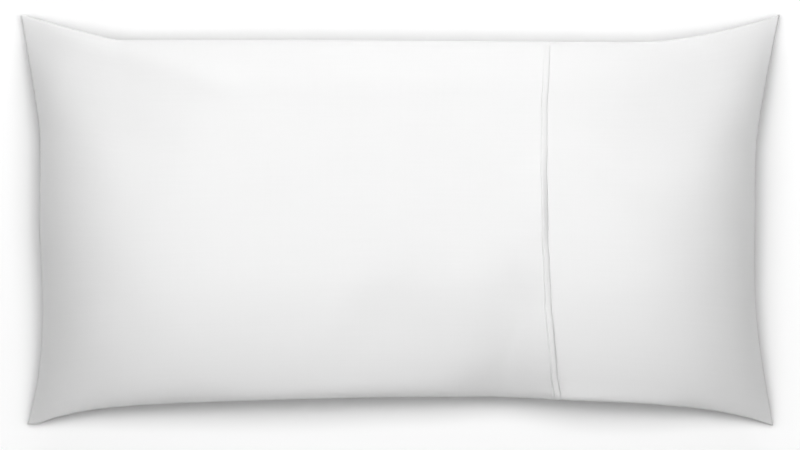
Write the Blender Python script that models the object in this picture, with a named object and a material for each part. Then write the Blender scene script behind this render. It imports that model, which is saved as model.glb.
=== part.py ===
"""A filled pillowcase with a lapped opening, lying on its back on a table.

The face of the case is two panels. The face panel runs from the left end to a
narrow stitched hem, and the hem laps over the flap panel, which runs on to the
right end. The back panel and the filling are one filled solid. All three meet
in one seam round the outline, which is drawn in between four pointed ears.

Metres, +Z up. X runs along the case and Y across it, +Y being its far side.
The origin is on the table, under the middle of the case.
"""

import math
from collections import namedtuple

import bmesh
import bpy
from mathutils import Vector

# ---------------------------------------------------------------- sizes
# Outline, seen from above. A corner is the tip of an ear: its place, the seam's
# height there, and how much of the tip is blunt, along the long edge.
Corner = namedtuple("Corner", "side_x side_y x y height blunt")
NEAR_LEFT = Corner(-1, -1, -0.4503, -0.2459, height=0.014, blunt=0.013)
NEAR_RIGHT = Corner(+1, -1, +0.4509, -0.2481, height=0.014, blunt=0.001)
FAR_LEFT = Corner(-1, +1, -0.4585, +0.2480, height=0.014, blunt=0.004)
FAR_RIGHT = Corner(+1, +1, +0.4590, +0.2486, height=0.014, blunt=0.000)
CORNERS = (NEAR_LEFT, NEAR_RIGHT, FAR_LEFT, FAR_RIGHT)
HALF_LENGTH = 0.4590
HALF_WIDTH = 0.2486

# An edge is drawn in to its waist from the line between its two corners. Each
# ear takes up its run of the edge, and falls away with its power. The dip says
# how much further in the edge comes near one place along it; below zero it
# swells there. The first ear is the left one of a long edge, and the near one
# of an end.
Edge = namedtuple(
    "Edge",
    "start end waist first_run first_power last_run last_power dip dip_at dip_run",
)
FAR = Edge(FAR_LEFT, FAR_RIGHT, 0.0331, 0.119, 1.10, 0.179, 1.77, +0.0029, +0.188, 0.313)
NEAR = Edge(NEAR_LEFT, NEAR_RIGHT, 0.0050, 0.291, 6.00, 0.320, 5.04, +0.0327, +0.029, 0.541)
LEFT = Edge(NEAR_LEFT, FAR_LEFT, 0.0255, 0.180, 2.61, 0.146, 1.24, -0.0019, -0.009, 0.045)
RIGHT = Edge(NEAR_RIGHT, FAR_RIGHT, 0.0312, 0.168, 1.86, 0.168, 1.31, -0.0133, -0.350, 0.196)

# Thickness, bottom to top.
SEAM_HEIGHT = 0.056  # of the seam above the table, away from the ears
SEAM_THICKNESS = 0.0055
CROWN = 0.100  # how far the face stands above the seam
SAG = 0.085  # how far the back would hang below it, were there no table
TABLE_BEND = 0.012  # the bend where the back meets the table

# The form of the crown. The long sides start at the seam with a steep wall. The
# ends taper over their run from a soft lip, the apex lies nearer the near side,
# and the ears stay thin and droop.
SIDE_WALL = 0.0035  # the face is as high beside the seam as it would be this far in
SIDE_WALL_RUN = 0.0006
END_RUN = 0.270
END_POWER = 3.0
END_ROUND = 0.72
END_LIP = 0.012
APEX_SHIFT = 0.40
NEAR_POWER = 1.6
NEAR_ROUND = 0.22
FAR_POWER = 1.8
FAR_ROUND = 0.23
EAR_RUN = 0.122
EAR_ROUND = 0.085
EAR_DROOP_POWER = 2.6

# The cloth, and the gap that keeps its layers apart.
CLOTH = 0.0012
GAP = 0.0003

# The hem across the face: where its edge lies, how it swings to the right at
# its two ends, how wide and thick its turned band is, and how far the flap
# goes in under it. The hollow that takes the flap starts over the lead-in.
HEM_X = 0.1715
HEM_STRAIGHT_Y = 0.070
HEM_FAR_SWING = 0.0072
HEM_NEAR_SWING = 0.0175
HEM_NEAR_POWER = 2.6
HEM_WIDTH = 0.0075
HEM_SLOPE = 0.0015
HEM_RISE = 0.0006
TUCK = 0.045
LEAD_IN = 0.012

# The panels don't lie equally full beside the hem. The face panel bulges at one
# place, the flap sinks beside it, and near the middle the band is lifted and
# slopes down to its edge. Each fades along the hem over a reach to either side,
# and away from the hem over its run.
Swelling = namedtuple("Swelling", "height y near_reach far_reach run")
FACE_BULGE = Swelling(0.0022, -0.135, 0.042, 0.030, 0.075)
FLAP_SINK = Swelling(0.0013, -0.150, 0.062, 0.062, 0.200)
BAND_LIFT = Swelling(0.0050, +0.012, 0.120, 0.060, 0.060)
SEAM_REACH = 0.012  # they all fade out this far from the seam
DIVE_RUN = 0.010  # over which the flap dives under the hem's band

# Soft folds of the face: a ridge, or a trough where the rise is negative, from
# one point to another.
FOLD_FADE = 0.3  # the share of its length over which a fold fades at each end
FOLD_FULLNESS = 0.25  # how full the case is where the folds reach their height
Fold = namedtuple("Fold", "from_x from_y to_x to_y half_width rise")
FOLDS = (
    Fold(-0.445, +0.245, -0.205, +0.165, 0.022, +0.0050),
    Fold(+0.405, +0.245, +0.320, +0.070, 0.038, -0.0020),
    Fold(-0.440, -0.280, -0.350, -0.105, 0.027, +0.0015),
    Fold(+0.480, -0.250, +0.345, -0.200, 0.021, +0.0010),
    Fold(-0.390, +0.170, -0.270, +0.075, 0.046, -0.0035),
    Fold(+0.365, +0.195, +0.265, +0.070, 0.060, -0.0060),
    Fold(+0.095, -0.285, +0.145, -0.065, 0.034, -0.0065),
    Fold(+0.102, -0.240, +0.147, -0.104, 0.014, -0.0025),
    Fold(-0.210, -0.220, +0.035, -0.200, 0.020, +0.0040),
    Fold(+0.164, -0.220, +0.335, -0.233, 0.021, +0.0070),
    Fold(+0.179, -0.247, +0.293, -0.198, 0.031, +0.0015),
    Fold(-0.275, +0.160, +0.245, +0.165, 0.022, +0.0020),
    Fold(-0.046, -0.114, +0.162, -0.216, 0.065, -0.0060),
    Fold(+0.180, -0.218, +0.316, -0.225, 0.014, +0.0065),
    Fold(-0.049, -0.219, +0.180, -0.207, 0.038, -0.0070),
    Fold(+0.075, -0.210, +0.190, -0.210, 0.032, -0.0055),
)

# How finely the case is cut. Columns run across it and rows along it.
ROWS = 24
PLAIN_COLUMNS = 25  # left of the lead-in
TUCK_COLUMNS = 2  # between the flap's hidden edge and the hem
FLAP_COLUMNS = 14  # right of the hem
CROWDING = 0.62  # how much they crowd towards the seam
HEM_TRIES = 8  # how often a guess at the hem's u is bettered

WHITE = (0.93, 0.93, 0.925, 1.0)


# ---------------------------------------------------------------- outline
def edge_point(edge, share):
    """The seam at this share of the way from one corner to the next, in plan."""
    start = Vector((edge.start.x, edge.start.y))
    chord = Vector((edge.end.x, edge.end.y)) - start
    is_long = edge.start.side_y == edge.end.side_y
    from_first = share * chord.length - edge.start.blunt * is_long
    from_last = (1 - share) * chord.length - edge.end.blunt * is_long
    first = min(max(1 - from_first / edge.first_run, 0.0), 1.0) ** edge.first_power
    last = min(max(1 - from_last / edge.last_run, 0.0), 1.0) ** edge.last_power
    place = start + chord * share
    from_dip = (place.x if is_long else place.y) - edge.dip_at
    drawn_in = edge.waist * (1 - first - last)
    drawn_in += edge.dip * math.exp(-((from_dip / edge.dip_run) ** 2)) * (1 - first - last)
    inward = Vector((-chord.y, chord.x)).normalized()
    if inward.dot(place) > 0:
        inward.negate()
    return place + inward * drawn_in


def plan(u, v):
    """The place in plan of (u, v), each of which runs from -1 to 1."""
    s, t = (u + 1) / 2, (v + 1) / 2
    between_long = edge_point(NEAR, s) * (1 - t) + edge_point(FAR, s) * t
    between_ends = edge_point(LEFT, t) * (1 - s) + edge_point(RIGHT, t) * s
    twice_counted = Vector((0.0, 0.0))
    for ear in CORNERS:
        share = (1 + ear.side_x * u) * (1 + ear.side_y * v) / 4
        twice_counted += Vector((ear.x, ear.y)) * share
    return between_long + between_ends - twice_counted


# ---------------------------------------------------------------- thickness
def smoothstep(share):
    share = min(max(share, 0.0), 1.0)
    return share * share * (3 - 2 * share)


def seam_height(u, v):
    """The seam's height above the table: it droops towards each ear."""
    height = SEAM_HEIGHT
    for ear in CORNERS:
        nearness = max(0.0, ear.side_x * u) * max(0.0, ear.side_y * v)
        height -= (SEAM_HEIGHT - ear.height) * nearness**EAR_DROOP_POWER
    return height


def fullness(u, v):
    """How full the case is: 0 at the seam and 1 in the middle."""
    from_end = (1 - abs(u)) * HALF_LENGTH
    from_side = (1 - abs(v)) * HALF_WIDTH
    from_end = from_end**2 / (from_end + END_LIP)
    taper = 1 - (1 - min(from_end / END_RUN, 1.0)) ** END_POWER
    v *= 1 - SIDE_WALL / HALF_WIDTH * (1 - math.exp(-from_side / SIDE_WALL_RUN))
    from_apex = v + APEX_SHIFT * (1 - v * v)
    arch = 1 - abs(from_apex) ** (NEAR_POWER if from_apex < 0 else FAR_POWER)
    side_round = NEAR_ROUND if from_apex < 0 else FAR_ROUND
    ear = smoothstep(math.hypot(from_end, from_side) / EAR_RUN) ** EAR_ROUND
    return max(taper, 0.0) ** END_ROUND * max(arch, 0.0) ** side_round * ear


def fold_rise(place, full):
    """What the folds add to the face. They fade out towards the seam."""
    rise = 0.0
    for fold in FOLDS:
        start = Vector((fold.from_x, fold.from_y))
        along = Vector((fold.to_x, fold.to_y)) - start
        share = (place - start).dot(along) / along.length_squared
        off = (place - start - along * share).length / fold.half_width
        fade = smoothstep(share / FOLD_FADE + 0.5) * smoothstep((1 - share) / FOLD_FADE + 0.5)
        rise += fold.rise * math.exp(-off * off) * fade
    return rise * smoothstep(full / FOLD_FULLNESS)


def face_surface(u, v):
    place = plan(u, v)
    full = fullness(u, v)
    height = seam_height(u, v) + SEAM_THICKNESS / 2 + CROWN * full + fold_rise(place, full)
    return Vector((place.x, place.y, height))


def back_surface(u, v):
    """The back hangs below the seam, and lies flat where it meets the table."""
    place = plan(u, v)
    height = seam_height(u, v) - SEAM_THICKNESS / 2 - SAG * fullness(u, v)
    if height < -TABLE_BEND:
        height = 0.0
    elif height < TABLE_BEND:
        height = (height + TABLE_BEND) ** 2 / (4 * TABLE_BEND)
    return Vector((place.x, place.y, height))


# Which way is square to the face is read over this step of u and v, and no
# nearer to the seam than this.
SQUARE_STEP = 0.01
SQUARE_WITHIN = 0.96


def under_face(u, v, depth):
    """The point this deep under the face, square to it."""
    at_u = min(max(u, -SQUARE_WITHIN), SQUARE_WITHIN)
    at_v = min(max(v, -SQUARE_WITHIN), SQUARE_WITHIN)
    along = face_surface(at_u + SQUARE_STEP, at_v) - face_surface(at_u - SQUARE_STEP, at_v)
    across = face_surface(at_u, at_v + SQUARE_STEP) - face_surface(at_u, at_v - SQUARE_STEP)
    return face_surface(u, v) - along.cross(across).normalized() * depth


# ---------------------------------------------------------------- the lap
def hem_line(y):
    """The x of the hem's edge, which swings to the right at both sides."""
    half_waist = HALF_WIDTH - FAR.waist
    if y > HEM_STRAIGHT_Y:
        return HEM_X + HEM_FAR_SWING * ((y - HEM_STRAIGHT_Y) / (half_waist - HEM_STRAIGHT_Y)) ** 2
    near_share = (HEM_STRAIGHT_Y - y) / (HEM_STRAIGHT_Y + half_waist)
    return HEM_X + HEM_NEAR_SWING * near_share**HEM_NEAR_POWER


def beside_hem(v, offset):
    """The u at which this row meets a line that runs beside the hem's edge."""
    u = HEM_X / HALF_LENGTH
    for _ in range(HEM_TRIES):
        place = plan(u, v)
        u += (hem_line(place.y) + offset - place.x) / HALF_LENGTH
    return u


# The lines across the case that the panels are cut along, from left to right:
# distance from the hem's edge, how far the face panel rises there, and its
# share of the band's lift.
Line = namedtuple("Line", "offset rise lift")
LAP_LINES = (
    Line(-TUCK - LEAD_IN, 0.0, 1.0),
    *(
        Line(-TUCK + (TUCK - HEM_WIDTH - HEM_SLOPE) * i / TUCK_COLUMNS, 0.0, 1.0)
        for i in range(TUCK_COLUMNS + 1)
    ),
    Line(-HEM_WIDTH, HEM_RISE, 1.0),
    Line(-HEM_SLOPE, HEM_RISE, 0.17),
    Line(0.0, 0.0, 0.0),
)
FLAP_START = PLAIN_COLUMNS + 1
HEM_COLUMN = PLAIN_COLUMNS + len(LAP_LINES) - 1
COLUMNS = HEM_COLUMN + FLAP_COLUMNS


def eased(share, crowd_start, crowd_end):
    """A share from 0 to 1 whose steps are closer together at the ends named."""
    angle_start = 0.0 if crowd_start else math.pi / 2
    angle_end = math.pi if crowd_end else math.pi / 2
    angle = angle_start + (angle_end - angle_start) * share
    span = math.cos(angle_start) - math.cos(angle_end)
    curved = (math.cos(angle_start) - math.cos(angle)) / span
    return share * (1 - CROWDING) + curved * CROWDING


def row_v(row):
    return 2 * eased(row / ROWS, True, True) - 1


def column_u(column, v):
    if column <= PLAIN_COLUMNS:
        lead_in = beside_hem(v, LAP_LINES[0].offset)
        return -1 + (lead_in + 1) * eased(column / PLAIN_COLUMNS, True, False)
    if column <= HEM_COLUMN:
        return beside_hem(v, LAP_LINES[column - PLAIN_COLUMNS].offset)
    hem = beside_hem(v, 0.0)
    return hem + (1 - hem) * eased((column - HEM_COLUMN) / FLAP_COLUMNS, False, True)


def swell(swelling, y, beside):
    """A swelling's height at y, this far to the side of the hem's edge."""
    reach = swelling.near_reach if y < swelling.y else swelling.far_reach
    along_hem = math.exp(-(((y - swelling.y) / reach) ** 2))
    return swelling.height * along_hem * smoothstep(1 - abs(beside) / swelling.run)


def raised(column, u, v):
    """How far the bulge and the lift raise the face panel over the plain face."""
    place = plan(u, v)
    beside = place.x - hem_line(place.y)
    lift_share = LAP_LINES[max(0, column - PLAIN_COLUMNS)].lift
    height = swell(FACE_BULGE, place.y, beside) + swell(BAND_LIFT, place.y, beside) * lift_share
    return height * smoothstep((1 - abs(v)) * HALF_WIDTH / SEAM_REACH)


def flap_depth(column, u, v):
    """How deep the flap's top lies under the plain face.

    The tucked part follows the face panel, and dives under the hem's band to
    the sunken part beside it. Past the hem the flap comes up to the seam's own
    level towards the right end.
    """
    place = plan(u, v)
    beside = place.x - hem_line(place.y)
    dive = smoothstep(1 + beside / DIVE_RUN)
    sunk = swell(FLAP_SINK, place.y, beside) * smoothstep((1 - abs(v)) * HALF_WIDTH / SEAM_REACH)
    lap = (CLOTH + GAP) * (1 - smoothstep(max(0.0, (column - HEM_COLUMN) / FLAP_COLUMNS)))
    follows = raised(column, u, v) * (1 - dive) if column <= HEM_COLUMN else 0.0
    return lap + sunk * dive - follows


# ---------------------------------------------------------------- solids
def slab(name, first, last, upper, lower, roughness):
    """One closed solid from a box that is cut into the case's columns and rows.

    upper and lower give the place of a point from its column, its u and its v.
    """
    bm = bmesh.new()
    bmesh.ops.create_cube(bm, size=1.0)
    bmesh.ops.scale(bm, vec=(last - first, ROWS, 1), verts=bm.verts)
    bmesh.ops.translate(bm, vec=((first + last) / 2, ROWS / 2, 0), verts=bm.verts)
    for axis, pieces in ((0, last - first), (1, ROWS)):
        whole = [e for e in bm.edges if abs(e.verts[0].co[axis] - e.verts[1].co[axis]) > 1.5]
        bmesh.ops.subdivide_edges(bm, edges=whole, cuts=pieces - 1)
    split_towards_ears(bm)
    for vert in bm.verts:
        column = round(vert.co.x)
        v = row_v(round(vert.co.y))
        vert.co = (upper if vert.co.z > 0 else lower)(column, column_u(column, v), v)
    mesh = bpy.data.meshes.new(name)
    bm.to_mesh(mesh)
    bm.free()
    mesh.shade_smooth()
    mesh.set_sharp_from_angle(angle=math.radians(40))
    mesh.materials.append(cotton(name, roughness))
    obj = bpy.data.objects.new(name, mesh)
    case.objects.link(obj)
    return obj


def split_towards_ears(bm):
    """Cuts each square of both faces by the diagonal that points at an ear.

    Every layer is cut the same way, so layers that are parallel never touch.
    """
    for face in [f for f in bm.faces if abs(f.normal.z) > 0.5]:
        middle = face.calc_center_median()
        side = 1 if (middle.x - COLUMNS / 2) * (middle.y - ROWS / 2) > 0 else -1
        in_order = sorted(face.verts, key=lambda vert: vert.co.x + side * vert.co.y)
        bmesh.utils.face_split(face, in_order[0], in_order[-1])


def cotton(name, roughness):
    material = bpy.data.materials.new(name + " cotton")
    material.use_nodes = True
    shader = material.node_tree.nodes["Principled BSDF"]
    shader.inputs["Base Color"].default_value = WHITE
    shader.inputs["Roughness"].default_value = roughness
    shader.inputs["Metallic"].default_value = 0.0
    return material


# ---------------------------------------------------------------- pieces
def make_filled_back():
    """The back panel and the filling, hollowed where the two panels lie."""

    def upper(column, u, v):
        if column >= FLAP_START:
            return under_face(u, v, flap_depth(column, u, v) + CLOTH + GAP)
        return under_face(u, v, CLOTH + GAP - raised(column, u, v))

    def lower(column, u, v):
        return back_surface(u, v)

    return slab("filled_back", 0, COLUMNS, upper, lower, roughness=0.85)


def make_face_panel():
    """The left part of the face, up to the edge of its turned hem."""

    def upper(column, u, v):
        rise = LAP_LINES[max(0, column - PLAIN_COLUMNS)].rise
        return under_face(u, v, -rise - raised(column, u, v))

    def lower(column, u, v):
        return under_face(u, v, CLOTH - raised(column, u, v))

    return slab("face_panel", 0, HEM_COLUMN, upper, lower, roughness=0.8)


def make_flap_panel():
    """The right part of the face, from its tucked edge to the right end."""

    def upper(column, u, v):
        return under_face(u, v, flap_depth(column, u, v))

    def lower(column, u, v):
        return under_face(u, v, flap_depth(column, u, v) + CLOTH)

    return slab("flap_panel", FLAP_START, COLUMNS, upper, lower, roughness=0.8)


# ---------------------------------------------------------------- build
for old in list(bpy.data.objects):
    bpy.data.objects.remove(old)

case = bpy.data.collections.new("pillowcase")
bpy.context.scene.collection.children.link(case)

make_filled_back()
make_face_panel()
make_flap_panel()
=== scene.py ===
# %% [markdown]
# # A filled pillowcase with a lapped opening
# A pillowcase is three flat cuts of cotton: a face panel, a flap panel and a back panel. They are
# sewn together round the edge, turned the right way out and filled. The face panel ends in a narrow
# stitched hem, and the flap goes in under it, so the opening stays shut without a button or a zip.
#
# The solids in the frame already have the real sizes, so the looks are built round them.

# %% Load the frame
import math
from collections import namedtuple

import bmesh
import bpy
import numpy as np
from mathutils import Matrix, Vector


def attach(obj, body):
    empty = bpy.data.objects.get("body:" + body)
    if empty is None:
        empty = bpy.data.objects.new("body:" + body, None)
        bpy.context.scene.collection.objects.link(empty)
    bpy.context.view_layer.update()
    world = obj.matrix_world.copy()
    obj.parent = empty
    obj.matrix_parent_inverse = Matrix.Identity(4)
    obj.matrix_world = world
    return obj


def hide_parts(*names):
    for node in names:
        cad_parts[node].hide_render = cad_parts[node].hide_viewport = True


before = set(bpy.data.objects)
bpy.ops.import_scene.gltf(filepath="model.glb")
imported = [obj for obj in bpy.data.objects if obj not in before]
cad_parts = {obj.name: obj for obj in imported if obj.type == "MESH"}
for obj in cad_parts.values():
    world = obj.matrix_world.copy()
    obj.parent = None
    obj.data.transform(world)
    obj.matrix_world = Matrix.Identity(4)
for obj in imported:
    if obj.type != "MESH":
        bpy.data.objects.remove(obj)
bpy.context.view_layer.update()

# %% [markdown]
# ## The outline
# Seen from above, the seam isn't straight: the filling pulls the middle of each edge in, and leaves
# the four corners as pointed ears. It could be traced as a long list of points. A few driving sizes
# for each edge say the same thing, and they can be read and changed: how far the waist is drawn in,
# how long each ear runs and how sharply it falls away, and one soft dip.

# %% Corners and edges of the seam
Corner = namedtuple("Corner", "side_x side_y x y height blunt")
NEAR_LEFT = Corner(-1, -1, -0.4503, -0.2459, height=0.014, blunt=0.013)
NEAR_RIGHT = Corner(+1, -1, +0.4509, -0.2481, height=0.014, blunt=0.001)
FAR_LEFT = Corner(-1, +1, -0.4585, +0.2480, height=0.014, blunt=0.004)
FAR_RIGHT = Corner(+1, +1, +0.4590, +0.2486, height=0.014, blunt=0.000)
CORNERS = (NEAR_LEFT, NEAR_RIGHT, FAR_LEFT, FAR_RIGHT)
HALF_LENGTH = 0.4590
HALF_WIDTH = 0.2486

Edge = namedtuple(
    "Edge",
    "start end waist first_run first_power last_run last_power dip dip_at dip_run",
)
FAR = Edge(FAR_LEFT, FAR_RIGHT, 0.0331, 0.119, 1.10, 0.179, 1.77, +0.0029, +0.188, 0.313)
NEAR = Edge(NEAR_LEFT, NEAR_RIGHT, 0.0050, 0.291, 6.00, 0.320, 5.04, +0.0327, +0.029, 0.541)
LEFT = Edge(NEAR_LEFT, FAR_LEFT, 0.0255, 0.180, 2.61, 0.146, 1.24, -0.0019, -0.009, 0.045)
RIGHT = Edge(NEAR_RIGHT, FAR_RIGHT, 0.0312, 0.168, 1.86, 0.168, 1.31, -0.0133, -0.350, 0.196)


def edge_points(edge, share):
    """Places on the seam, in plan, at these shares of the way from corner to corner."""
    start = np.array((edge.start.x, edge.start.y))
    chord = np.array((edge.end.x, edge.end.y)) - start
    length = np.hypot(*chord)
    is_long = edge.start.side_y == edge.end.side_y
    from_first = share * length - edge.start.blunt * is_long
    from_last = (1 - share) * length - edge.end.blunt * is_long
    first = np.clip(1 - from_first / edge.first_run, 0, 1) ** edge.first_power
    last = np.clip(1 - from_last / edge.last_run, 0, 1) ** edge.last_power
    place = start + chord * share[..., None]
    from_dip = place[..., 0 if is_long else 1] - edge.dip_at
    dip = edge.dip * np.exp(-((from_dip / edge.dip_run) ** 2))
    drawn_in = (edge.waist + dip) * (1 - first - last)
    inward = np.array((-chord[1], chord[0])) / length
    if inward @ (start + chord / 2) > 0:
        inward = -inward
    return place + inward * drawn_in[..., None]


def plan(u, v):
    """The places in plan of (u, v), each of which runs from -1 to 1 across the case."""
    s, t = ((u + 1) / 2)[..., None], ((v + 1) / 2)[..., None]
    long_edges = edge_points(NEAR, s[..., 0]) * (1 - t) + edge_points(FAR, s[..., 0]) * t
    ends = edge_points(LEFT, t[..., 0]) * (1 - s) + edge_points(RIGHT, t[..., 0]) * s
    twice_counted = 0
    for ear in CORNERS:
        share = (1 + ear.side_x * u) * (1 + ear.side_y * v) / 4
        twice_counted = twice_counted + np.array((ear.x, ear.y)) * share[..., None]
    return long_edges + ends - twice_counted


# %% [markdown]
# ## The crown
# Filled cloth rises like a steep wall from the seam of the long sides and levels off in the middle.
# The ends taper over a longer run, and the ears stay thin, because no filling gets into them. Under
# the case the table holds the back flat, so the back is the same form turned over and cut off
# there.
#
# The folds of the face are soft ridges and troughs, each from one point to another. A simulation
# doesn't let one choose where cloth folds, so they are placed one by one, and fade out at their
# ends and towards the seam.

# %% How high the face and the back lie
SEAM_HEIGHT = 0.056
CROWN = 0.100  # of the face over the seam
SAG = 0.085  # how far the back would hang under the seam, were there no table
TABLE_BEND = 0.012  # the bend where the back meets the table
SIDE_WALL = 0.0035  # beside the seam the face is as high as it would be this far in
SIDE_WALL_RUN = 0.0006
END_RUN = 0.270
END_POWER = 3.0
END_ROUND = 0.72
END_LIP = 0.012  # over which the ends start softly
APEX_SHIFT = 0.40  # the apex lies nearer the near side
NEAR_POWER = 1.6
NEAR_ROUND = 0.22
FAR_POWER = 1.8
FAR_ROUND = 0.23
EAR_RUN = 0.122
EAR_ROUND = 0.085
EAR_DROOP_POWER = 2.6

FOLD_FADE = 0.3  # the share of its length over which a fold fades at each end
FOLD_FULLNESS = 0.25  # how full the case is where the folds reach their height
Fold = namedtuple("Fold", "from_x from_y to_x to_y half_width rise")
FOLDS = (
    Fold(-0.445, +0.245, -0.205, +0.165, 0.022, +0.0050),
    Fold(+0.405, +0.245, +0.320, +0.070, 0.038, -0.0020),
    Fold(-0.440, -0.280, -0.350, -0.105, 0.027, +0.0015),
    Fold(+0.480, -0.250, +0.345, -0.200, 0.021, +0.0010),
    Fold(-0.390, +0.170, -0.270, +0.075, 0.046, -0.0035),
    Fold(+0.365, +0.195, +0.265, +0.070, 0.060, -0.0060),
    Fold(+0.095, -0.285, +0.145, -0.065, 0.034, -0.0065),
    Fold(+0.102, -0.240, +0.147, -0.104, 0.014, -0.0025),
    Fold(-0.210, -0.220, +0.035, -0.200, 0.020, +0.0040),
    Fold(+0.164, -0.220, +0.335, -0.233, 0.021, +0.0070),
    Fold(+0.179, -0.247, +0.293, -0.198, 0.031, +0.0015),
    Fold(-0.275, +0.160, +0.245, +0.165, 0.022, +0.0020),
    Fold(-0.046, -0.114, +0.162, -0.216, 0.065, -0.0060),
    Fold(+0.180, -0.218, +0.316, -0.225, 0.014, +0.0065),
    Fold(-0.049, -0.219, +0.180, -0.207, 0.038, -0.0070),
    Fold(+0.075, -0.210, +0.190, -0.210, 0.032, -0.0055),
)


def smoothstep(share):
    share = np.clip(share, 0, 1)
    return share * share * (3 - 2 * share)


def seam_height(u, v):
    """The seam's height above the table: it droops towards each ear."""
    height = np.full(u.shape, SEAM_HEIGHT)
    for ear in CORNERS:
        nearness = np.maximum(0, ear.side_x * u) * np.maximum(0, ear.side_y * v)
        height -= (SEAM_HEIGHT - ear.height) * nearness**EAR_DROOP_POWER
    return height


def from_seam(u, v):
    """How far in from the nearer end, and from the nearer long edge."""
    return (1 - abs(u)) * HALF_LENGTH, (1 - abs(v)) * HALF_WIDTH


def fullness(u, v):
    """How full the case is: 0 at the seam and 1 in the middle."""
    from_end, from_side = from_seam(u, v)
    from_end = from_end**2 / (from_end + END_LIP)
    taper = 1 - (1 - np.minimum(from_end / END_RUN, 1)) ** END_POWER
    v = v * (1 - SIDE_WALL / HALF_WIDTH * (1 - np.exp(-from_side / SIDE_WALL_RUN)))
    from_apex = v + APEX_SHIFT * (1 - v * v)
    arch = 1 - abs(from_apex) ** np.where(from_apex < 0, NEAR_POWER, FAR_POWER)
    side_round = np.where(from_apex < 0, NEAR_ROUND, FAR_ROUND)
    ear = smoothstep(np.hypot(from_end, from_side) / EAR_RUN)
    return np.maximum(taper, 0) ** END_ROUND * np.maximum(arch, 0) ** side_round * ear**EAR_ROUND


def fold_rise(place, full):
    """What the folds add to the face."""
    rise = np.zeros(full.shape)
    for fold in FOLDS:
        start = np.array((fold.from_x, fold.from_y))
        along = np.array((fold.to_x, fold.to_y)) - start
        share = (place - start) @ along / (along @ along)
        off = np.hypot(*np.moveaxis(place - start - share[..., None] * along, -1, 0))
        fade = smoothstep(share / FOLD_FADE + 0.5) * smoothstep((1 - share) / FOLD_FADE + 0.5)
        rise += fold.rise * np.exp(-((off / fold.half_width) ** 2)) * fade
    return rise * smoothstep(full / FOLD_FULLNESS)


# %% [markdown]
# ## Where the hem lies
# The hem's edge isn't quite straight, because the filled case pulls it to one side near its ends.
# The two panels don't lie equally full there: the face panel stands up a few millimetres, and the
# flap sinks, so the edge shows as a small step. The filling also lifts the hem's band, most of all
# near the middle, and from there the band slopes down to its edge.

# %% The hem's line and the step beside it
HEM_X = 0.1715
HEM_STRAIGHT_Y = 0.070
HEM_FAR_SWING = 0.0072
HEM_NEAR_SWING = 0.0175
HEM_NEAR_POWER = 2.6

Swelling = namedtuple("Swelling", "height y near_reach far_reach run")
FACE_BULGE = Swelling(0.0022, -0.135, 0.042, 0.030, 0.075)
FLAP_SINK = Swelling(0.0013, -0.150, 0.062, 0.062, 0.200)
LIFT_RUN = 0.060


def hem_line(y):
    """The x of the hem's edge, which swings to the right at both sides."""
    half_waist = HALF_WIDTH - FAR.waist
    far_share = (y - HEM_STRAIGHT_Y) / (half_waist - HEM_STRAIGHT_Y)
    near_share = (HEM_STRAIGHT_Y - y) / (HEM_STRAIGHT_Y + half_waist)
    swing = HEM_FAR_SWING * np.maximum(far_share, 0) ** 2
    return HEM_X + swing + HEM_NEAR_SWING * np.maximum(near_share, 0) ** HEM_NEAR_POWER


def swell(swelling, y, from_hem):
    """A swelling's height at y, fading over its run away from the hem."""
    reach = np.where(y < swelling.y, swelling.near_reach, swelling.far_reach)
    along_hem = np.exp(-(((y - swelling.y) / reach) ** 2))
    return swelling.height * along_hem * smoothstep(1 - abs(from_hem) / swelling.run)


# %% [markdown]
# ## The rolled seam
# The three panels are sewn inside out, so at the edge each one turns in over its own seam
# allowance. From outside that is a soft roll a few millimetres thick with a fine crease round its
# middle, where the face meets the back.

# %% Face and back surfaces
ROLL = 0.0022
CREASE = 0.00015  # half of it


def seam_roll(u, v):
    """How far the cloth stands off the seam's own level, on the face and on the back."""
    stand = np.ones(u.shape)
    for inside in from_seam(u, v):
        stand *= np.sqrt(1 - (1 - np.minimum(inside / ROLL, 1)) ** 2)
    return CREASE + ROLL * stand


def face_points(u, v):
    place = plan(u, v)
    full = fullness(u, v)
    height = seam_height(u, v) + seam_roll(u, v) + CROWN * full
    return np.dstack((place, height + fold_rise(place, full)))


def back_points(u, v):
    place = plan(u, v)
    height = seam_height(u, v) - seam_roll(u, v) - SAG * fullness(u, v)
    bent = (height + TABLE_BEND) ** 2 / (4 * TABLE_BEND)
    on_table = np.where(height < -TABLE_BEND, 0, bent)
    return np.dstack((place, np.where(height < TABLE_BEND, on_table, height)))


def outward(points):
    """Unit normals of a grid of points, up on the face."""
    along, across = np.gradient(points, axis=0), np.gradient(points, axis=1)
    normal = np.cross(along, across)
    return normal / np.linalg.norm(normal, axis=-1, keepdims=True)


# %% [markdown]
# ## Rows and columns
# Every panel is cut into rows that run along the case and columns that run across it. The columns
# beside the hem follow its edge, so its turned band gets lines of its own. Both are close together
# at the seam, where the cloth turns round a roll a few millimetres thick.

# %% Rows and columns
TUCK = 0.045
LEAD_IN = 0.012
HEM_TRIES = 8
FINE_STEP = 0.0004
STEP_GROWTH = 1.35
ROW_STEP = 0.0018
COLUMN_STEP = 0.0060
LEAST_COLUMN_STEP = 0.0010
BACK_STEP = 0.0055


def beside_hem(v, offset):
    """The u at which each row meets a line that runs beside the hem's edge."""
    u = np.full(v.shape, HEM_X / HALF_LENGTH)
    for _ in range(HEM_TRIES):
        place = plan(u, v)
        u = u + (hem_line(place[..., 1]) + offset - place[..., 0]) / HALF_LENGTH
    return u


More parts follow.
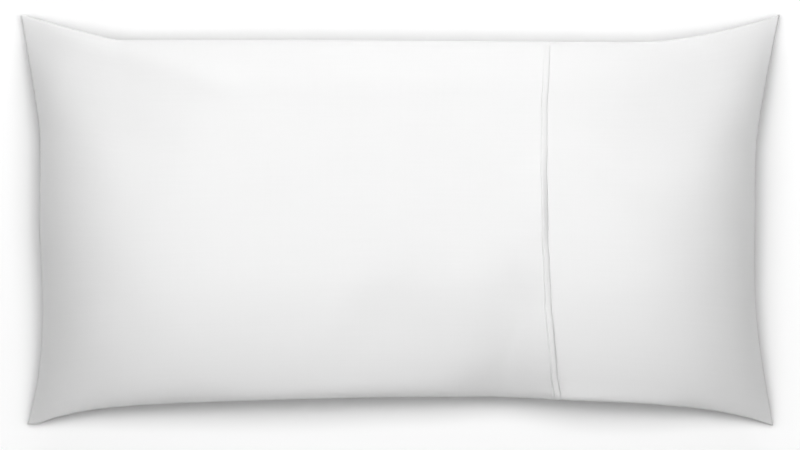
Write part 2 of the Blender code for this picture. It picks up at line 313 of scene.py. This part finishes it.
def steps(length, step, fine_start=True, fine_end=True):
    """Places from 0 to 1, in fine steps at the ends named and plain ones between."""
    fine_count = math.ceil(math.log(step / FINE_STEP, STEP_GROWTH))
    fine = [FINE_STEP * STEP_GROWTH**i for i in range(fine_count)]
    plain = round((length - sum(fine) * (fine_start + fine_end)) / step)
    sizes = fine * fine_start + [step] * plain + fine[::-1] * fine_end
    return np.concatenate(((0,), np.cumsum(sizes))) / sum(sizes)


# %% [markdown]
# The hem is drawn as a section across its band. The cloth is folded under twice, so the band is
# three layers thick, with a rounded edge. The stitching pulls a groove beside its inner fold. The
# table gives, for each distance from the edge, how far the cloth rises over the plain face, how
# deep the stitches pull it, its share of the band's lift, and its thickness. The band's lift, how
# firmly the stitches pull, and how far the flap drops away under the edge change along the hem, so
# a second table gives those. A ruler-straight hem would look printed, so a few sine waves make its
# edge and its puckers uneven.

# %% The hem's section
CLOTH = 0.0006
BAND_CLOTH = 0.0011

Station = namedtuple("Station", "offset rise pull lift thick")
HEM_SECTION = (
    Station(-0.0300, 0.0, 0.0, 1.0, CLOTH),
    Station(-0.0240, 0.0, 0.0, 1.0, CLOTH),
    Station(-0.0190, 0.00002, 0.0, 1.0, CLOTH),
    Station(-0.0155, 0.00005, 0.0, 1.0, CLOTH),
    Station(-0.0125, 0.00012, 0.0, 1.0, CLOTH),
    Station(-0.0105, 0.00025, 0.0, 1.0, CLOTH),
    Station(-0.0092, 0.00045, 0.0, 1.0, CLOTH),
    Station(-0.0082, 0.00060, 0.0, 1.0, BAND_CLOTH),
    Station(-0.0075, 0.00062, 0.0, 1.0, BAND_CLOTH),
    Station(-0.0070, 0.00060, 0.00030, 0.98, 0.0008),
    Station(-0.0066, 0.00060, 0.00095, 0.94, 0.0006),
    Station(-0.0062, 0.00060, 0.00035, 0.89, 0.0008),
    Station(-0.0056, 0.00060, 0.0, 0.80, BAND_CLOTH),
    Station(-0.0046, 0.00058, 0.0, 0.64, BAND_CLOTH),
    Station(-0.0034, 0.00052, 0.0, 0.45, BAND_CLOTH),
    Station(-0.0022, 0.00040, 0.0, 0.27, BAND_CLOTH),
    Station(-0.0013, 0.00018, 0.0, 0.14, BAND_CLOTH),
    Station(-0.0007, -0.00008, 0.0, 0.06, 0.0009),
    Station(-0.0003, -0.00036, 0.0, 0.02, 0.0006),
    Station(-0.0001, -0.00060, 0.0, 0.0, 0.0004),
    Station(0.0, -0.00080, 0.0, 0.0, 0.0002),
)
STITCH_OFFSET = -0.0066

HemPlace = namedtuple("HemPlace", "y lift pull drop")
HEM_PLACES = (
    HemPlace(-0.200, 0.0010, 3.6, 0.0008),
    HemPlace(-0.175, 0.0014, 1.5, 0.0004),
    HemPlace(-0.155, 0.0018, 1.1, 0.0),
    HemPlace(-0.139, 0.0020, 1.6, 0.0),
    HemPlace(-0.110, 0.0026, 1.5, 0.0),
    HemPlace(-0.070, 0.0030, 1.6, 0.0001),
    HemPlace(-0.034, 0.0027, 1.8, 0.0001),
    HemPlace(-0.017, 0.0043, 1.4, 0.0003),
    HemPlace(+0.010, 0.0052, 1.3, 0.0005),
    HemPlace(+0.046, 0.0040, 1.1, 0.0002),
    HemPlace(+0.080, 0.0014, 0.6, 0.0),
    HemPlace(+0.130, 0.0012, 1.2, 0.0),
    HemPlace(+0.155, 0.0006, 0.9, 0.0),
    HemPlace(+0.180, 0.0001, 0.3, 0.0),
    HemPlace(+0.205, 0.0000, 0.3, 0.0),
)


def along_hem(y, column):
    """A column of the table of places, read between them."""
    places = [place.y for place in HEM_PLACES]
    return np.interp(y, places, [getattr(place, column) for place in HEM_PLACES])


Wave = namedtuple("Wave", "length height start")
EDGE_WAVES = (Wave(0.093, 0.00030, 0.4), Wave(0.047, 0.00018, 2.1), Wave(0.021, 0.00008, 4.0))
PUCKER_WAVES = (Wave(0.0173, 0.00012, 1.3), Wave(0.0119, 0.00010, 0.2), Wave(0.0086, 0.00007, 2.6))
PUCKER_HALF_WIDTH = 0.0026


def uneven(y, waves):
    """A few sine waves of odd lengths, which never quite repeat along the hem."""
    return sum(w.height * np.sin(2 * math.pi * y / w.length + w.start) for w in waves)


row_v = 2 * steps(2 * HALF_WIDTH, ROW_STEP) - 1
edge_wander = uneven(row_v * HALF_WIDTH, EDGE_WAVES)
face_shares = steps(HALF_LENGTH + HEM_X - TUCK - LEAD_IN, COLUMN_STEP, fine_end=False)
flap_shares = steps(HALF_LENGTH - HEM_X, COLUMN_STEP)
under_lap = np.arange(-TUCK - LEAD_IN, HEM_SECTION[0].offset - LEAST_COLUMN_STEP, COLUMN_STEP)

lead_in = beside_hem(row_v, -TUCK - LEAD_IN)
hem_lines = [beside_hem(row_v, offset) for offset in under_lap]
hem_lines += [beside_hem(row_v, station.offset + edge_wander) for station in HEM_SECTION]
U = np.array(
    [share * (lead_in + 1) - 1 for share in face_shares[:-1]]
    + hem_lines
    + [hem_lines[-1] + (1 - hem_lines[-1]) * share for share in flap_shares[1:]]
)
V = np.broadcast_to(row_v, U.shape)
HEM_COLUMN = len(U) - len(flap_shares)
HEM_START = HEM_COLUMN + 1 - len(HEM_SECTION)
TUCK_COLUMN = len(face_shares) + 1
LAST_COLUMN = len(U) - 1
print("rows", len(row_v) - 1, "columns", LAST_COLUMN, "the hem's edge is column", HEM_COLUMN)

# %% [markdown]
# ## Sheets of cloth
# Each panel is a thin closed sheet. It starts as a box from bmesh, is cut into its rows and
# columns, and then every point goes to its place on the upper or the lower side of the cloth. The
# map of the flat cut is kept as UVs in metres, so the weave follows the cloth into the ears.

# %% A helper that makes a sheet from a box
WHOLE = 1.5  # an edge that is longer than this, in columns or rows, isn't cut yet


def slab(name, upper, lower, u, v):
    """A closed mesh from a box: upper and lower hold a point for each column and row."""
    columns, rows = u.shape[0] - 1, u.shape[1] - 1
    bm = bmesh.new()
    bmesh.ops.create_cube(bm, size=1.0)
    bmesh.ops.scale(bm, vec=(columns, rows, 1), verts=bm.verts)
    bmesh.ops.translate(bm, vec=(columns / 2, rows / 2, 0), verts=bm.verts)
    for axis, pieces in ((0, columns), (1, rows)):
        whole = [e for e in bm.edges if abs(e.verts[0].co[axis] - e.verts[1].co[axis]) > WHOLE]
        bmesh.ops.subdivide_edges(bm, edges=whole, cuts=pieces - 1)
    mesh = bpy.data.meshes.new(name)
    bm.to_mesh(mesh)
    bm.free()
    at = np.empty(len(mesh.vertices) * 3)
    mesh.vertices.foreach_get("co", at)
    at = at.reshape(-1, 3)
    column, row = np.rint(at[:, 0]).astype(int), np.rint(at[:, 1]).astype(int)
    is_upper = at[:, 2:] > 0
    places = np.where(is_upper, upper[column, row], lower[column, row])
    mesh.vertices.foreach_set("co", places.ravel())
    corner_vertex = np.empty(len(mesh.loops), int)
    mesh.loops.foreach_get("vertex_index", corner_vertex)
    cut = np.column_stack((u[column, row] * HALF_LENGTH, v[column, row] * HALF_WIDTH))
    mesh.uv_layers.new(name="cut").data.foreach_set("uv", cut[corner_vertex].ravel())
    mesh.update()
    mesh.shade_smooth()
    obj = bpy.data.objects.new(name, mesh)
    bpy.context.scene.collection.objects.link(obj)
    print(name, "has", len(mesh.vertices), "points and", 2 * len(mesh.polygons), "triangles")
    return obj


# %% [markdown]
# ## Layers
# The nominal face is one smooth surface. Each layer is that surface pushed in by a depth, square to
# the cloth, so the layers stay parallel however the case bulges. Past the hem the flap comes up to
# the face's own level: slowly in the middle of the case, and at once at the seam, where all the
# panels are sewn into one edge.

# %% The face panel and the flap panel
GAP = 0.0003
CLEARANCE = 0.0001
LAP_DEPTH = 0.0008
LAP_DEPTH_AT_SEAM = 0.0004
LAP_RUN = 0.200
LAP_RUN_AT_SEAM = 0.014
LAP_SEAM_REACH = 0.030
HEM_END_REACH = 0.012
DROP_RUN = 0.010
DROP_WIDTH = 0.0013


def pushed_in(points, depth):
    """The points, moved this far into the case, square to the cloth."""
    return points - outward(points) * depth[..., None]


face = face_points(U, V)
face_y = face[..., 1]
from_hem = face[..., 0] - hem_line(face_y)
near_seam = 1 - smoothstep(from_seam(U, V)[1] / LAP_SEAM_REACH)
off_seam = smoothstep(from_seam(U, V)[1] / HEM_END_REACH)

lift = along_hem(face_y, "lift") * smoothstep(1 + from_hem / LIFT_RUN)
bulge = swell(FACE_BULGE, face_y, from_hem)
raised = (bulge + lift) * off_seam

lap_run = LAP_RUN + (LAP_RUN_AT_SEAM - LAP_RUN) * near_seam
under_hem = smoothstep(1 + from_hem / DROP_RUN)
beside_edge = np.where(from_hem < 0, under_hem, np.exp(-abs(from_hem) / DROP_WIDTH))
drop = along_hem(face_y, "drop") * beside_edge
sunk = swell(FLAP_SINK, face_y, from_hem) * under_hem
lap_depth = LAP_DEPTH + (LAP_DEPTH_AT_SEAM - LAP_DEPTH) * near_seam
flap_depth = lap_depth * (1 - smoothstep(from_hem / lap_run)) + GAP
flap_depth += (drop + sunk) * off_seam - raised * (1 - under_hem)

tops = raised.copy()
thickness = np.full(U.shape, CLOTH)
for column, station in enumerate(HEM_SECTION, start=HEM_START):
    y = face_y[column]
    near_stitches = math.exp(-(((station.offset - STITCH_OFFSET) / PUCKER_HALF_WIDTH) ** 2))
    pucker = uneven(y, PUCKER_WAVES) * near_stitches
    shape = station.rise - station.pull * along_hem(y, "pull") + pucker
    tops[column] = (bulge[column] + lift[column] * station.lift + shape) * off_seam[column]
    # However firmly the stitches pull, the band stays clear of the flap below it.
    tops[column] = np.maximum(tops[column], 2 * CLEARANCE - flap_depth[column])
    thickness[column] = np.minimum(station.thick, tops[column] + flap_depth[column] - CLEARANCE)
print("the thinnest place of the band is", thickness.min().round(5))

lap = slice(0, HEM_COLUMN + 1)
flap = slice(TUCK_COLUMN, LAST_COLUMN + 1)
face_top = pushed_in(face, -tops)
face_under = pushed_in(face, thickness - tops)
flap_top = pushed_in(face, flap_depth)
flap_under = pushed_in(face, flap_depth + CLOTH)
face_cloth = slab("face_cloth", face_top[lap], face_under[lap], U[lap], V[lap])
flap_cloth = slab("flap_cloth", flap_top[flap], flap_under[flap], U[flap], V[flap])

# %% [markdown]
# ## The back and the filling
# The back panel and what fills the case are one padded piece. Nothing shows of its upper side but
# the crease of the seam, so it has wider columns and rows than the face.

# %% The back and the filling
FILLING_DEPTH_AT_SEAM = 0.0026
FILLING_DEPTH = 0.0048
FILLING_REACH = 0.020

back_u = 2 * steps(2 * HALF_LENGTH, BACK_STEP) - 1
back_v = 2 * steps(2 * HALF_WIDTH, BACK_STEP) - 1
BU, BV = np.meshgrid(back_u, back_v, indexing="ij")
inside = smoothstep(np.minimum(*from_seam(BU, BV)) / FILLING_REACH)
filling_depth = FILLING_DEPTH_AT_SEAM + (FILLING_DEPTH - FILLING_DEPTH_AT_SEAM) * inside
nominal = face_points(BU, BV)
nominal_y = nominal[..., 1]
filling_depth += swell(FLAP_SINK, nominal_y, nominal[..., 0] - hem_line(nominal_y)) * inside
filling = pushed_in(nominal, filling_depth)
back_and_filling = slab("back_and_filling", filling, back_points(BU, BV), BU, BV)

# %% [markdown]
# ## Stitches
# The hem is closed with a straight lockstitch in white thread, three millimetres to the stitch.
# Each stitch is a short bead of thread that rises from one needle hole and goes down into the next.
# One bead is modelled, and copied along the bottom of the groove.

# %% The stitches of the hem
STITCH_LENGTH = 0.0030
STITCH_SHARE = 0.86  # of that length, that shows between two needle holes
STITCH_SINK = 0.00016
STITCH_MARGIN = 0.004
STITCH_SIDES = 6
STITCH_CUTS = 5
STITCH_TAPER = 0.45
STITCH_DIVE = 2.2  # in radii of the thread
THREAD_RADIUS = 0.00020


def stitch_template():
    """A thread bead along X, one unit long, whose ends turn down."""
    bm = bmesh.new()
    along_x = Matrix.Rotation(math.pi / 2, 4, "Y")
    bmesh.ops.create_cone(
        bm, segments=STITCH_SIDES, radius1=THREAD_RADIUS, radius2=THREAD_RADIUS, depth=1.0,
        cap_ends=True, matrix=along_x,
    )
    long_edges = [e for e in bm.edges if abs(e.verts[0].co.x - e.verts[1].co.x) > 0.5]
    bmesh.ops.subdivide_edges(bm, edges=long_edges, cuts=STITCH_CUTS)
    for vert in bm.verts:
        from_middle = abs(2 * vert.co.x)
        slimmed = 1 - STITCH_TAPER * from_middle**4
        vert.co.z = vert.co.z * slimmed - STITCH_DIVE * THREAD_RADIUS * from_middle**3
        vert.co.y *= slimmed
    mesh = bpy.data.meshes.new("stitch")
    bm.to_mesh(mesh)
    bm.free()
    return mesh


def make_stitches():
    """All the stitches as one mesh, end to end along the groove."""
    groove = HEM_START + [station.offset for station in HEM_SECTION].index(STITCH_OFFSET)
    line = face_top[groove]
    up = outward(face)[groove]
    along = np.concatenate(((0,), np.cumsum(np.linalg.norm(np.diff(line, axis=0), axis=1))))
    count = int((along[-1] - 2 * STITCH_MARGIN) / STITCH_LENGTH)
    template = stitch_template()
    bm = bmesh.new()
    for number in range(count):
        start = STITCH_MARGIN + number * STITCH_LENGTH
        ends = np.array((start, start + STITCH_LENGTH * STITCH_SHARE))
        first, last = (Vector([np.interp(at, along, line[:, i]) for i in range(3)]) for at in ends)
        normal = Vector([np.interp(ends.mean(), along, up[:, i]) for i in range(3)]).normalized()
        forward = (last - first).normalized()
        side = normal.cross(forward).normalized()
        turn = Matrix((forward, side, normal)).transposed().to_4x4()
        middle = (first + last) / 2 + normal * (THREAD_RADIUS - STITCH_SINK)
        known = len(bm.verts)
        bm.from_mesh(template)
        bm.verts.ensure_lookup_table()
        stretch = Matrix.Diagonal(((last - first).length, 1, 1, 1))
        placing = Matrix.Translation(middle) @ turn @ stretch
        bmesh.ops.transform(bm, matrix=placing, verts=bm.verts[known:])
    mesh = bpy.data.meshes.new("hem_stitches")
    bm.to_mesh(mesh)
    bm.free()
    bpy.data.meshes.remove(template)
    mesh.shade_smooth()
    obj = bpy.data.objects.new("hem_stitches", mesh)
    bpy.context.scene.collection.objects.link(obj)
    print("stitches", count, "with", len(mesh.polygons), "faces")
    return obj


hem_stitches = make_stitches()

# %% [markdown]
# ## Cotton
# Fine bed cotton is a plain weave: each thread goes over one and under the next. The threads are a
# third of a millimetre apart, too fine to see from a step away, but they break up the light. What
# does show is that no thread is quite even, so faint streaks run along and across the cloth. The
# maths of the weave is written as Python expressions on a small class that wraps a socket.

# %% A class for shader maths
class Value:
    """A number or vector socket. Python's operators on it add Math nodes."""

    def __init__(self, tree, socket):
        self.tree = tree
        self.socket = socket

    def node(self, kind, settings=None, **inputs):
        """Any other node: its type, then its settings, then its sockets."""
        made = self.tree.nodes.new(kind)
        for name, value in (settings or {}).items():
            setattr(made, name, value)
        for name, value in inputs.items():
            self.join(value, made.inputs[name.replace("_", " ")])
        return made

    def join(self, value, target):
        if isinstance(value, Value):
            self.tree.links.new(value.socket, target)
        else:
            target.default_value = value

    def maths(self, operation, *values):
        made = self.tree.nodes.new("ShaderNodeMath")
        made.operation = operation
        for target, value in zip(made.inputs, values):
            self.join(value, target)
        return Value(self.tree, made.outputs[0])

    def __add__(self, other):
        return self.maths("ADD", self, other)

    def __radd__(self, other):
        return self.maths("ADD", other, self)

    def __sub__(self, other):
        return self.maths("SUBTRACT", self, other)

    def __mul__(self, other):
        return self.maths("MULTIPLY", self, other)

    def __rmul__(self, other):
        return self.maths("MULTIPLY", other, self)

    def sine(self):
        return self.maths("SINE", self)


# %% The cotton's material
WHITE = (0.768, 0.768, 0.768, 1.0)
SHADED_WHITE = (0.738, 0.738, 0.738, 1.0)
THREAD_SPACING = 0.00034
WEAVE_HEIGHT = 0.000022
SLUB_HEIGHT = 0.000016
SLUBS_ALONG = 9.0  # streaks to the metre
SLUBS_ACROSS = 420.0
WEFT_SLUBS = 0.6
MOTTLE = 14.0
SLUB_SHADE = 0.45
MOTTLE_SHADE = 0.4
PLY_LENGTH = 0.0005
PLY_HEIGHT = 0.00003


def streaks(uv, along_scale, across_scale, detail=2.0):
    """Noise drawn out along one way of the cloth, about 0."""
    mapping = uv.node("ShaderNodeMapping", Vector=uv, Scale=(along_scale, across_scale, 1.0))
    stretched = Value(uv.tree, mapping.outputs["Vector"])
    noise = uv.node(
        "ShaderNodeTexNoise", {"noise_dimensions": "2D"}, Vector=stretched, Scale=1.0, Detail=detail
    )
    return Value(uv.tree, noise.outputs["Fac"]) - 0.5


def cotton(name):
    """White plain weave, whose bump and shade follow the flat cut."""
    material = bpy.data.materials.new(name)
    material.use_nodes = True
    tree = material.node_tree
    shader = tree.nodes["Principled BSDF"]
    uv_map = tree.nodes.new("ShaderNodeUVMap")
    uv_map.uv_map = "cut"
    uv = Value(tree, uv_map.outputs["UV"])
    parts = uv.node("ShaderNodeSeparateXYZ", Vector=uv)
    warp = (Value(tree, parts.outputs["X"]) * (math.pi / THREAD_SPACING)).sine()
    weft = (Value(tree, parts.outputs["Y"]) * (math.pi / THREAD_SPACING)).sine()
    warp_slubs = streaks(uv, SLUBS_ALONG, SLUBS_ACROSS)
    slubs = warp_slubs + WEFT_SLUBS * streaks(uv, SLUBS_ACROSS, SLUBS_ALONG)
    mottle = streaks(uv, MOTTLE, MOTTLE, detail=3.0)
    height = warp * weft * WEAVE_HEIGHT + slubs * SLUB_HEIGHT
    bump = uv.node("ShaderNodeBump", Height=height, Distance=1.0, Strength=1.0)
    tree.links.new(bump.outputs["Normal"], shader.inputs["Normal"])
    shade = 0.5 + slubs * SLUB_SHADE + mottle * MOTTLE_SHADE
    mix = uv.node("ShaderNodeMix", {"data_type": "RGBA"})
    uv.join(shade, mix.inputs["Factor"])
    for socket, colour in zip([i for i in mix.inputs if i.type == "RGBA"], (SHADED_WHITE, WHITE)):
        socket.default_value = colour
    colour_out = next(o for o in mix.outputs if o.type == "RGBA")
    tree.links.new(colour_out, shader.inputs["Base Color"])
    shader.inputs["Roughness"].default_value = 0.85
    shader.inputs["Specular IOR Level"].default_value = 0.3
    shader.inputs["Sheen Weight"].default_value = 0.10
    shader.inputs["Sheen Roughness"].default_value = 0.5
    return material


def thread(name):
    """White sewing thread, with the slant of its twisted plies."""
    material = bpy.data.materials.new(name)
    material.use_nodes = True
    tree = material.node_tree
    shader = tree.nodes["Principled BSDF"]
    where = tree.nodes.new("ShaderNodeTexCoord")
    place = Value(tree, where.outputs["Object"])
    parts = place.node("ShaderNodeSeparateXYZ", Vector=place)
    slanted = Value(tree, parts.outputs["X"]) + Value(tree, parts.outputs["Y"])
    ply = (slanted * (math.tau / PLY_LENGTH)).sine() * PLY_HEIGHT
    bump = place.node("ShaderNodeBump", Height=ply, Distance=1.0, Strength=1.0)
    tree.links.new(bump.outputs["Normal"], shader.inputs["Normal"])
    shader.inputs["Base Color"].default_value = WHITE
    shader.inputs["Roughness"].default_value = 0.6
    shader.inputs["Sheen Weight"].default_value = 0.2
    return material


face_cotton = cotton("face cotton")
back_cotton = cotton("back cotton")
face_cloth.data.materials.append(face_cotton)
flap_cloth.data.materials.append(face_cotton)
back_and_filling.data.materials.append(back_cotton)
hem_stitches.data.materials.append(thread("white thread"))

# %% [markdown]
# ## What rides on what
# The case has no moving parts, so all of it rides on one body.

# %% Replace the solids
for piece, node, slot in (
    (face_cloth, "face_panel", "face_cotton"),
    (flap_cloth, "flap_panel", "face_cotton"),
    (back_and_filling, "filled_back", "back_cotton"),
):
    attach(piece, "root")
    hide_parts(node)
    # The case throws no light back on the table, so the shadow beside its edge stays firm.
    piece.visible_diffuse = False
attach(hem_stitches, "root")

# %% [markdown]
# ## Studio
# The case is seen from straight above. Two soft lights hang over it, and a low one stands behind
# its far side, so the far edge is bright and the near edge falls off gently. Weaker ones at the
# near side and at both ends keep the steep sides from going dark. A room of plain white light would
# wash out the shadow, so the surroundings are black.

# %% Floor, light and camera
PIXEL = 0.001195
PHOTO_WIDTH = 800
CAMERA_OVER_SEAM = 3.5
CAMERA_Y = -0.0057
SENSOR = 36.0

FLOOR_SIZE = 6.0
FLOOR_DROP = 0.0002
FLOOR_WHITE = (0.99, 0.99, 0.99, 1.0)

Light = namedtuple("Light", "name place width height power")
LIGHTS = (
    Light("overhead", (0.0, 0.0, 2.5), 3.0, 0.8, 35.0),
    Light("back", (0.0, 0.4, 2.4), 1.1, 0.7, 24.0),
    Light("far", (0.0, 2.3, 0.65), 1.4, 0.7, 26.0),
    Light("near", (0.0, -1.7, 1.7), 1.4, 0.7, 7.0),
    Light("left", (-1.7, 0.0, 1.7), 0.7, 1.0, 2.5),
    Light("right", (1.7, 0.0, 1.7), 0.7, 1.0, 2.5),
)


def studio_floor():
    bm = bmesh.new()
    bmesh.ops.create_grid(bm, x_segments=1, y_segments=1, size=FLOOR_SIZE)
    bmesh.ops.translate(bm, vec=(0, 0, -FLOOR_DROP), verts=bm.verts)
    mesh = bpy.data.meshes.new("floor")
    bm.to_mesh(mesh)
    bm.free()
    obj = bpy.data.objects.new("floor", mesh)
    bpy.context.scene.collection.objects.link(obj)
    material = bpy.data.materials.new("pale floor")
    material.use_nodes = True
    shader = material.node_tree.nodes["Principled BSDF"]
    shader.inputs["Base Color"].default_value = FLOOR_WHITE
    shader.inputs["Roughness"].default_value = 0.9
    mesh.materials.append(material)
    return obj


def soft_light(light):
    """A rectangular light that faces the origin, under the middle of the case."""
    data = bpy.data.lights.new(light.name, "AREA")
    data.shape = "RECTANGLE"
    data.size, data.size_y = light.width, light.height
    data.energy = light.power
    # Rays off the table don't see the case, so a light behind it mustn't count for them.
    data.cycles.use_multiple_importance_sampling = False
    obj = bpy.data.objects.new(light.name, data)
    obj.location = light.place
    towards_origin = Vector() - obj.location
    obj.rotation_euler = towards_origin.to_track_quat("-Z", "Y").to_euler()
    bpy.context.scene.collection.objects.link(obj)


studio_floor()
for light in LIGHTS:
    soft_light(light)
world = bpy.data.worlds.new("studio")
world.use_nodes = True
world.node_tree.nodes["Background"].inputs["Strength"].default_value = 0.0
bpy.context.scene.world = world
bpy.context.scene.view_settings.view_transform = "Standard"

lens = bpy.data.cameras.new("camera")
lens.sensor_width = SENSOR
lens.lens = SENSOR * CAMERA_OVER_SEAM / (PHOTO_WIDTH * PIXEL)
camera = bpy.data.objects.new("camera", lens)
camera.location = (0, CAMERA_Y, SEAM_HEIGHT + CAMERA_OVER_SEAM)
bpy.context.scene.collection.objects.link(camera)
bpy.context.scene.camera = camera
